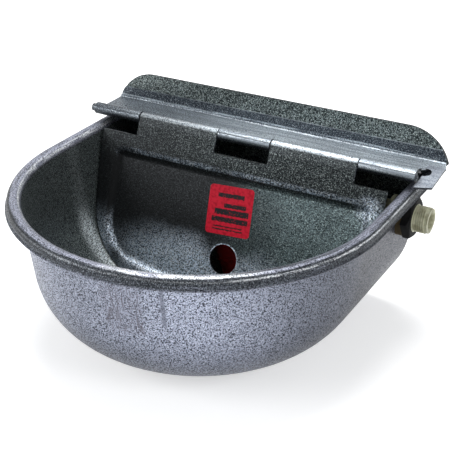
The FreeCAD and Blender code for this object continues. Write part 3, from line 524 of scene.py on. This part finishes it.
def coverZinc():
    # almost black at the left of the dish, grey and flecked to the right, paler low down as a painted
    # reflection, with painted highlights on the folds, edges and hinge
    material, tree, shader, coords = newMaterial("coverZinc")
    skins = {look: zincSkinOf(tree, coords, look) for look in
             ("coverDark", "coverBand", "coverGrey", "coverHighlight", "shelf")}
    x, _, z = axes(tree, coords)
    wander = noise(tree, coords, 22.0, 3.0)
    drift = mathNode(tree, "SUBTRACT", wander, 0.5)
    across, down = (mathNode(tree, "ADD", value, mathNode(tree, "MULTIPLY", drift, size))
                    for value, size in zip((x, z), coverTones["drift"]))
    grey = mixColor(tree, rangeNode(tree, across, *coverTones["grey"]),
                    skins["coverDark"]["Color"], skins["coverGrey"]["Color"])
    # painted reflection: the dish paler low down about the middle
    paleMiddle = atShare(coverBox, 0, coverMarks["paleMiddle"])
    paleAcross = nearMask(tree, across, paleMiddle, *coverTones["paleWide"])
    pale = product(tree, rangeNode(tree, down, *coverTones["paleLow"]), paleAcross)
    dish = mixColor(tree, pale, grey, skins["coverHighlight"]["Color"])
    hinge = rangeNode(tree, z, *coverTones["hinge"])
    band = mixColor(tree, rangeNode(tree, across, *coverTones["band"]),
                    skins["coverDark"]["Color"], skins["coverBand"]["Color"])
    color = mixColor(tree, hinge, dish, band)

    # rubbed folds, also lightened as a painted highlight where they face down into shade, found by how
    # far a point stands from the cover's own plane
    faceX, _, faceZ = axes(tree, addNode(tree, "TexCoord").outputs["Normal"])
    lean = math.radians(coverMarks["lean"])
    depth = vectorValue(tree, "DOT_PRODUCT", coords, (0.0, -math.cos(lean), math.sin(lean)))
    slope = nearMask(tree, depth, *coverMarks["slope"])
    crumbs = noise(tree, coords, 620.0, 3.0, 0.7)
    ragged = product(tree, rangeNode(tree, wander, *coverTones["raggedSlow"]),
                     rangeNode(tree, crumbs, *coverTones["raggedFine"]))
    # the rubbed fold, with a painted highlight where it faces down into shade
    fold = product(tree, nearMask(tree, depth, *coverMarks["topFold"]),
                   rangeNode(tree, faceZ, *coverTones["foldFacing"]),
                   rangeNode(tree, z, *coverTones["foldLow"]),
                   rangeNode(tree, across, *coverTones["foldAcross"]), ragged)
    # painted highlight: a pale spot at the dish's top right corner
    corner = tuple(atShare(coverBox, axis, share)
                   for axis, share in enumerate(coverMarks["cornerSpot"]))
    fromCorner = vectorValue(tree, "DISTANCE", coords, corner)
    cornerHighlight = product(tree, rangeNode(tree, fromCorner, coverMarks["spotSize"], 0.001), ragged)
    leftSide = product(tree, slope, rangeNode(tree, faceX, *coverTones["leftFacing"]))
    color = mixColor(tree, product(tree, leftSide, coverTones["leftDepth"]), color,
                     coverTones["leftInk"])
    # painted highlight: the crescent low on the left slope
    leftCrescentHighlight = product(tree, leftSide, rangeNode(tree, down, *coverTones["leftCrescentHighlight"]), ragged,
                       coverTones["leftCrescentDepth"])
    # painted highlight lifting the shaded flange low at the left
    flange = product(tree, rangeNode(tree, depth, *coverMarks["flange"]),
                     rangeNode(tree, x, *coverTones["flangeAcross"]),
                     rangeNode(tree, down, *coverTones["flangeLow"]), coverTones["flangeDepth"])
    # painted highlight down the right slope below the corner
    rightSlopeHighlight = product(tree, slope, rangeNode(tree, faceX, *coverTones["rightFacing"]), ragged,
                        rangeNode(tree, z, *coverTones["rightSlopeHighlight"]))
    # painted highlight round the sight hole's edge
    fromHole = vectorValue(tree, "DISTANCE", coords, holeMiddle)
    holeEdgeHighlight = nearMask(tree, fromHole, *coverMarks["holeEdgeHighlight"])
    for mask in (fold, cornerHighlight, flange, leftCrescentHighlight, rightSlopeHighlight, holeEdgeHighlight):
        color = mixColor(tree, mask, color, skins["coverHighlight"]["Color"])
    # painted highlight along the top of the hinge curl
    shine = product(tree, rangeNode(tree, z, *coverTones["shineHigh"]),
                    rangeNode(tree, faceZ, *coverTones["shineFacing"]),
                    rangeNode(tree, x, *coverTones["shineAcross"]))
    color = mixColor(tree, shine, color, skins["shelf"]["Color"])
    zincShader(tree, shader, color, skins["coverGrey"]["Roughness"], skins["coverGrey"]["Height"], 0.25)
    return material


stripMarks = {
    "tabStart": (0.1462, 0.1468), "tabDeep": (-0.010, -0.014), "tabDepth": 0.5,
    "curlLine": (0.0321, 0.00015, 0.00040),     # height along the curls, half width and fade
    "foldLine": (0.0305, 0.0004, 0.0010),       # the same for the fold above the leg
    "curlDeep": (-0.033, -0.036), "lineDepth": 0.75,
    "endAcross": (-0.096, -0.125), "endDeep": (-0.030, -0.034), "endDepth": 0.6,
    "dull": (0.05, -0.11, 0.0, 0.85), "steep": (-0.80, -0.97), "behind": (-0.012, -0.008),
    "streaks": (0.44, 0.62), "foldStreaks": (0.40, 0.55), "cut": (0.80, 0.45), "ends": (0.5, 0.8),
    "below": (0.15, -0.30),
    "streakInk": (0.17, 0.195, 0.225, 1), "creaseShade": (0.05, 0.056, 0.064, 1),
    "tabInk": (0.20, 0.215, 0.27, 1), "cutInk": (0.02, 0.022, 0.026, 1),
}


def stripZinc():
    # a pale, streaky shelf lit from above, knuckles painted darker to the left as shade, and a dark
    # flecked leg that is the shaded copy of the same zinc
    material, tree, shader, coords = newMaterial("stripZinc")
    skins = {look: zincSkinOf(tree, coords, look) for look in ("shelf", "leg", "rimShadeAndStreaks")}
    x, y, z = axes(tree, coords)
    squeezed = addNode(tree, "VectorMath", {0: coords, 1: (0.05, 1.0, 1.0)}, operation="MULTIPLY")
    streak = noise(tree, squeezed.outputs[0], 330.0, 3.0, 0.6)
    streakMask = rangeNode(tree, streak, *stripMarks["streaks"])
    curl = rangeNode(tree, y, *stripMarks["curlDeep"], 0.6, 0.9)
    color = mixColor(tree, product(tree, streakMask, curl), skins["shelf"]["Color"],
                     stripMarks["streakInk"])
    # painted shade: the knuckles darker to the left
    color = mixColor(tree, rangeNode(tree, x, *stripMarks["dull"]), color, skins["leg"]["Color"])
    faceX, faceY, faceZ = axes(tree, addNode(tree, "TexCoord").outputs["Normal"])
    steep = rangeNode(tree, faceY, *stripMarks["steep"])
    behind = rangeNode(tree, y, *stripMarks["behind"])
    # painted shade: the leg's front face takes the darker copy
    color = mixColor(tree, product(tree, steep, behind), color, skins["leg"]["Color"])
    # painted shadow in the crease along the curls
    line = product(tree, nearMask(tree, z, *stripMarks["curlLine"]),
                   rangeNode(tree, y, *stripMarks["curlDeep"]), stripMarks["lineDepth"])
    color = mixColor(tree, line, color, stripMarks["creaseShade"])
    # painted shade at the left end of the curl
    end = product(tree, rangeNode(tree, x, *stripMarks["endAcross"]),
                  rangeNode(tree, y, *stripMarks["endDeep"]), stripMarks["endDepth"])
    color = mixColor(tree, end, color, skins["rimShadeAndStreaks"]["Color"])
    tab = product(tree, rangeNode(tree, x, *stripMarks["tabStart"]),
                  rangeNode(tree, y, *stripMarks["tabDeep"]))
    color = mixColor(tree, product(tree, tab, stripMarks["tabDepth"]), color, stripMarks["tabInk"])
    level = mathNode(tree, "ABSOLUTE", faceZ)
    cut = product(tree, rangeNode(tree, level, *stripMarks["cut"]), tab)
    ends = rangeNode(tree, mathNode(tree, "ABSOLUTE", faceX), *stripMarks["ends"])
    # painted highlight along the fold above the leg
    fold = product(tree, nearMask(tree, z, *stripMarks["foldLine"]), behind,
                   rangeNode(tree, streak, *stripMarks["foldStreaks"]))
    color = mixColor(tree, fold, color, skins["shelf"]["Color"])
    color = mixColor(tree, mathNode(tree, "MAXIMUM", cut, ends), color, stripMarks["cutInk"])
    # painted shade on faces turned downward
    color = mixColor(tree, rangeNode(tree, faceZ, *stripMarks["below"]), color,
                     skins["rimShadeAndStreaks"]["Color"])
    zincShader(tree, shader, color, skins["shelf"]["Roughness"], skins["shelf"]["Height"], 0.25)
    return material


plasticLooks = {
    "creamNylon": {"color": (0.56, 0.56, 0.40, 1), "shade": (0.24, 0.235, 0.14, 1), "rough": 0.42,
                   "gloss": 0.35},
    "blackNylon": {"color": (0.005, 0.005, 0.0055, 1), "shade": (0.012, 0.012, 0.012, 1), "rough": 0.5,
                   "gloss": 0.06},
    "redShell": {"color": (0.46, 0.020, 0.018, 1), "shade": (0.28, 0.012, 0.012, 1), "rough": 0.4,
                 "gloss": 0.3},
    "whiteAcetal": {"color": (0.74, 0.74, 0.70, 1), "shade": (0.60, 0.60, 0.56, 1), "rough": 0.4,
                    "gloss": 0.4},
    "brownRubber": {"color": (0.050, 0.036, 0.014, 1), "shade": (0.04, 0.03, 0.015, 1), "rough": 0.6,
                    "gloss": 0.15},
    "blackRubber": {"color": (0.015, 0.015, 0.015, 1), "shade": (0.03, 0.03, 0.03, 1), "rough": 0.65,
                    "gloss": 0.15},
}


def mouldedGroup():
    # moulded grain with slow changes of tone and a little grime
    group, given, out = newGroup("mouldedGrain", [
        ("Vector", "Vector", None), ("Color", "Color", (0.5, 0.5, 0.5, 1)),
        ("Shade", "Color", (0.3, 0.3, 0.3, 1)), ("Roughness", "Float", 0.4)],
        [("Color", "Color"), ("Roughness", "Float"), ("Height", "Float")])
    slow = noise(group, given["Vector"], 120.0, 3.0)
    fine = noise(group, given["Vector"], 2200.0, 2.0)
    mask = rangeNode(group, slow, 0.35, 0.68)
    feed(group, out["Color"], mixColor(group, mask, given["Color"], given["Shade"]))
    rough = mathNode(group, "ADD", given["Roughness"], mathNode(group, "MULTIPLY", fine, 0.16))
    feed(group, out["Roughness"], rough)
    feed(group, out["Height"], fine)
    return group


mouldedGrain = mouldedGroup()


def moulded(name):
    look = plasticLooks[name]
    material, tree, shader, coords = newMaterial(name)
    grain = useGroup(tree, mouldedGrain, {"Vector": coords, "Color": look["color"],
                                          "Shade": look["shade"], "Roughness": look["rough"]})
    feed(tree, shader.inputs["Base Color"], grain["Color"])
    feed(tree, shader.inputs["Roughness"], grain["Roughness"])
    shader.inputs["Specular IOR Level"].default_value = look["gloss"]
    bumpInto(tree, shader, grain["Height"], 0.12, 0.0002)
    return material


def turnedMetal(name, bright, dull, rough):
    # a fine grain with a little tarnish
    material, tree, shader, coords = newMaterial(name)
    tarnish = noise(tree, coords, 160.0, 4.0)
    fine = noise(tree, coords, 1900.0, 1.0)
    mask = rangeNode(tree, tarnish, 0.40, 0.66)
    feed(tree, shader.inputs["Base Color"], mixColor(tree, mask, bright, dull))
    roughness = mathNode(tree, "ADD", rough, mathNode(tree, "MULTIPLY", fine, 0.18))
    feed(tree, shader.inputs["Roughness"], roughness)
    shader.inputs["Metallic"].default_value = 1.0
    bumpInto(tree, shader, fine, 0.10, 0.0002)
    return material


labelSet = {
    "lean": 22.0, "tilt": 3.5, "red": (0.52, 0.008, 0.028, 1), "deepRed": (0.33, 0.005, 0.016, 1),
    "black": (0.010, 0.010, 0.012, 1), "fade": 0.0002, "jolt": 0.0016,
    # each bar: middle across, middle up, width and height
    "bars": [(0.0020, -0.0015, 0.0310, 0.0046), (0.0010, -0.0078, 0.0330, 0.0040),
             (0.0045, 0.0040, 0.0200, 0.0032), (0.0, 0.0122, 0.0240, 0.0034),
             (0.0, -0.0135, 0.0260, 0.0009), (0.0, -0.0160, 0.0280, 0.0009)],
}


def labelPrint():
    # a red field with plain black bars, laid along the label's own plane
    material, tree, shader, coords = newMaterial("labelPrint")
    low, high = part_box("cover_label")
    middle = [(a + b) / 2 for a, b in zip(low, high)]
    turn = Euler((math.radians(90 - labelSet["lean"]), 0, 0)).to_matrix()
    turn = turn @ Euler((0, 0, math.radians(labelSet["tilt"]))).to_matrix()
    flat = addNode(tree, "Mapping", {"Vector": coords, "Location": middle,
                                     "Rotation": turn.to_euler()}, vector_type="TEXTURE")
    ragged = noise(tree, coords, 900.0, 2.0)
    jolt = mathNode(tree, "MULTIPLY", mathNode(tree, "SUBTRACT", ragged, 0.5), labelSet["jolt"])
    across, up, _ = axes(tree, flat.outputs[0])
    up = mathNode(tree, "ADD", up, jolt)
    ink = 0.0
    for middleX, middleY, wide, tall in labelSet["bars"]:
        bar = product(tree, nearMask(tree, across, middleX, wide / 2, labelSet["fade"]),
                      nearMask(tree, up, middleY, tall / 2, labelSet["fade"]))
        ink = mathNode(tree, "MAXIMUM", ink, bar)
    broken = rangeNode(tree, ragged, 0.34, 0.42)
    ink = product(tree, ink, mathNode(tree, "ADD", 0.35, broken, True))
    wear = noise(tree, coords, 420.0, 3.0)
    red = mixColor(tree, rangeNode(tree, wear, 0.4, 0.7), labelSet["red"], labelSet["deepRed"])
    feed(tree, shader.inputs["Base Color"], mixColor(tree, ink, red, labelSet["black"]))
    feed(tree, shader.inputs["Roughness"], rangeNode(tree, wear, 0.3, 0.7, 0.45, 0.60))
    shader.inputs["Specular IOR Level"].default_value = 0.12
    bumpInto(tree, shader, wear, 0.08, 0.0002)
    return material


def dress(node, material):
    item = frame["nodes"][node]
    item.data.materials.clear()
    item.data.materials.append(material)


creamFinish = moulded("creamNylon")
coverFinish = coverZinc()


def dressAll():
    strip = stripZinc()
    plate = plainZinc("plateZinc", "plate")
    brass = turnedMetal("brassTurned", (0.62, 0.46, 0.18, 1), (0.36, 0.25, 0.10, 1), 0.26)
    stainless = turnedMetal("stainlessTurned", (0.60, 0.60, 0.60, 1), (0.42, 0.42, 0.43, 1), 0.24)
    pinSteel = turnedMetal("pinSteel", (0.09, 0.10, 0.11, 1), (0.02, 0.022, 0.025, 1), 0.34)
    finishes = {
        "bowl": bowlZinc(), "back_plate": plate, "hinge_strip": strip, "cover": coverFinish,
        "cover_label": labelPrint(), "hinge_pin": pinSteel, "valve_body": creamFinish,
        "outer_washer": moulded("brownRubber"), "inner_gasket": moulded("blackRubber"),
        "lock_nut": moulded("blackNylon"), "valve_seat": brass, "inlet_screen": stainless,
        "plunger": moulded("whiteAcetal"), "plunger_seal": moulded("blackRubber"),
        "float_arm": brass, "float": moulded("redShell"), "float_insert": brass,
        "float_washer": brass, "float_screw": brass, "lever_pin": brass, "pin_clip": stainless,
    }
    for node, material in finishes.items():
        dress(node, material)


threadSet = {
    "start": 0.1465, "end": 0.1572, "axisY": -0.030, "axisZ": -0.010,
    "plainRadius": 0.01065, "boreSide": 0.0100,     # skin of the plain nipple, and what lies inside it
    "rootRadius": 0.0099, "sunk": 0.0003, "crestRadius": 0.01062, "crestHalf": 0.00022,
    "pitch": 0.00181, "flankShare": 0.42, "steps": 48, "smoothTo": 32.0,
}


def mergedCopy(node, name):
    # a CAD mesh is loose triangles, so a copy of it is merged before it is shaped
    deselectAll()
    piece = frame["nodes"][node].copy()
    piece.data = frame["nodes"][node].data.copy()
    piece.name = name
    bpy.context.collection.objects.link(piece)
    piece.hide_render = False
    bpy.context.view_layer.objects.active = piece
    piece.select_set(True)
    bpy.ops.object.mode_set(mode="EDIT")
    bpy.ops.mesh.select_all(action="SELECT")
    bpy.ops.mesh.remove_doubles(threshold=0.000002)
    bpy.ops.object.mode_set(mode="OBJECT")
    return piece


def selectVertices(piece, wanted):
    # edit mode with only the wanted vertices selected, by their place
    bpy.context.view_layer.objects.active = piece
    bpy.ops.object.mode_set(mode="EDIT")
    bpy.ops.mesh.select_mode(type="VERT")
    bpy.ops.mesh.select_all(action="DESELECT")
    bpy.ops.object.mode_set(mode="OBJECT")
    for vertex in piece.data.vertices:
        vertex.select = wanted(vertex.co)
    bpy.ops.object.mode_set(mode="EDIT")


def makeInlet():
    # the nipple's skin shrinks to the thread's root, and one screwed ridge stands on it
    axis = (0.0, threadSet["axisY"], threadSet["axisZ"])
    core = mergedCopy("valve_body", "threadedInlet")

    def outer(co):
        radius = math.hypot(co.y - axis[1], co.z - axis[2])
        return co.x > threadSet["start"] - 0.0001 and radius > threadSet["boreSide"]

    bpy.ops.object.mode_set(mode="EDIT")
    bpy.ops.mesh.select_all(action="SELECT")
    bpy.ops.mesh.bisect(plane_co=(threadSet["start"], 0, 0), plane_no=(1, 0, 0))
    bpy.ops.object.mode_set(mode="OBJECT")
    selectVertices(core, outer)
    squeeze = threadSet["rootRadius"] / threadSet["plainRadius"]
    bpy.ops.transform.resize(value=(1, squeeze, squeeze), center_override=axis)
    bpy.ops.object.mode_set(mode="OBJECT")

    deselectAll()
    bpy.ops.mesh.primitive_circle_add(vertices=4, radius=0.0005, location=(0, 0, 0))
    ridge = bpy.context.object
    ridge.name = "inletThread"
    root = threadSet["rootRadius"] - threadSet["sunk"]
    crest, half = threadSet["crestRadius"], threadSet["crestHalf"]
    flank = threadSet["pitch"] * threadSet["flankShare"]
    corners = [(-flank, root), (-half, crest), (half, crest), (flank, root)]
    for vertex, (step, radius) in zip(ridge.data.vertices, corners):
        vertex.co = (threadSet["start"] + flank + step, 0, radius)
    turns = int((threadSet["end"] - threadSet["start"] - 2 * flank) / threadSet["pitch"])
    screw = ridge.modifiers.new("thread", "SCREW")
    screw.axis = "X"
    screw.angle = math.tau
    screw.screw_offset = threadSet["pitch"]
    screw.iterations = turns
    screw.steps = screw.render_steps = threadSet["steps"]
    screw.use_merge_vertices = False
    bpy.ops.object.modifier_apply(modifier="thread")
    bpy.ops.object.mode_set(mode="EDIT")
    bpy.ops.mesh.select_all(action="SELECT")
    bpy.ops.mesh.fill_holes(sides=4)
    bpy.ops.mesh.normals_make_consistent(inside=False)
    bpy.ops.mesh.select_all(action="SELECT")
    bpy.ops.transform.translate(value=axis)
    bpy.ops.object.mode_set(mode="OBJECT")
    for piece in (core, ridge):
        bpy.context.view_layer.objects.active = piece
        piece.select_set(True)
        bpy.ops.object.shade_smooth_by_angle(angle=math.radians(threadSet["smoothTo"]))
        piece.data.materials.clear()
        piece.data.materials.append(creamFinish)
        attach(piece, "bowl_body")
        deselectAll()
    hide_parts("valve_body")
    print("inlet and its thread:", turns, "turns")


# edges turned by an angle between softest and hardest, below the top height, are the dish's folds
coverShape = {"fold": 0.0027, "segments": 4, "softest": 14.0, "hardest": 62.0, "top": 0.0065,
              "flat": 0.4, "smoothTo": 30.0}


def makeCover():
    # the cover with the folds of its dish rolled over
    piece = mergedCopy("cover", "pressedCover")
    bpy.ops.object.mode_set(mode="EDIT")
    bpy.ops.mesh.select_all(action="SELECT")
    bpy.ops.mesh.dissolve_limited(angle_limit=math.radians(coverShape["flat"]))
    bpy.ops.mesh.select_mode(type="EDGE")
    sharp = []
    for angle in (coverShape["hardest"], coverShape["softest"]):
        bpy.ops.mesh.select_all(action="DESELECT")
        bpy.ops.mesh.edges_select_sharp(sharpness=math.radians(angle))
        bpy.ops.object.mode_set(mode="OBJECT")
        sharp.append({edge.index for edge in piece.data.edges if edge.select})
        bpy.ops.object.mode_set(mode="EDIT")
    bpy.ops.mesh.select_all(action="DESELECT")
    bpy.ops.object.mode_set(mode="OBJECT")
    points = piece.data.vertices
    folds = 0
    for edge in piece.data.edges:
        below = all(points[index].co.z < coverShape["top"] for index in edge.vertices)
        edge.select = below and edge.index in sharp[1] - sharp[0]
        folds += edge.select
    bpy.ops.object.mode_set(mode="EDIT")
    bpy.ops.mesh.bevel(offset=coverShape["fold"], offset_type="OFFSET",
                       segments=coverShape["segments"], profile=0.5, affect="EDGES",
                       clamp_overlap=False)
    bpy.ops.mesh.select_all(action="SELECT")
    bpy.ops.mesh.normals_make_consistent(inside=False)
    bpy.ops.object.mode_set(mode="OBJECT")
    bpy.ops.object.shade_smooth_by_angle(angle=math.radians(coverShape["smoothTo"]))
    piece.data.materials.clear()
    piece.data.materials.append(coverFinish)
    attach(piece, "cover_body")
    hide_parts("cover")
    deselectAll()
    print("cover pressed:", folds, "fold edges rolled over")


def seenRays(tree):
    path = addNode(tree, "LightPath").outputs
    return mathNode(tree, "ADD", path["Is Camera Ray"], path["Is Glossy Ray"], True), path


def makeStudio():
    bpy.ops.mesh.primitive_grid_add(x_subdivisions=8, y_subdivisions=8, size=studioSet["floorSize"],
                                    location=(0, 0, bowlBox[0][2] - studioSet["floorGap"]))
    floor = bpy.context.object
    floor.name = "paleFloor"
    material, tree, shader, coords = newMaterial("paleFloor")
    shader.inputs["Base Color"].default_value = studioSet["floorColor"]
    shader.inputs["Roughness"].default_value = studioSet["floorRough"]
    seen = seenRays(tree)[0]
    shader.inputs["Emission Color"].default_value = (1, 1, 1, 1)
    spread = addNode(tree, "VectorMath", {0: coords}, operation="LENGTH").outputs["Value"]
    away = rangeNode(tree, spread, *studioSet["floorFade"], 0.5, 1.0)
    feed(tree, shader.inputs["Emission Strength"], mathNode(tree, "MULTIPLY", seen, away))
    floor.data.materials.append(material)

    world = bpy.context.scene.world or bpy.data.worlds.new("studio")
    bpy.context.scene.world = world
    world.use_nodes = True
    tree = world.node_tree
    tree.nodes.clear()
    seen, path = seenRays(tree)
    seen = mathNode(tree, "ADD", seen, path["Is Transmission Ray"], True)
    lit = addNode(tree, "Background", {"Color": studioSet["worldLight"],
                                       "Strength": studioSet["worldStrength"]})
    shown = addNode(tree, "Background", {"Color": studioSet["worldSeen"], "Strength": 1.0})
    mix = addNode(tree, "MixShader", {0: seen})
    tree.links.new(lit.outputs[0], mix.inputs[1])
    tree.links.new(shown.outputs[0], mix.inputs[2])
    end = tree.nodes.new("ShaderNodeOutputWorld")
    tree.links.new(mix.outputs[0], end.inputs["Surface"])


makeCamera()
makeLamps()
makeInlet()
makeCover()
makeStudio()
print("studio ready")
dressAll()
print("finishes on")

bpy.context.scene.view_settings.view_transform = "Standard"
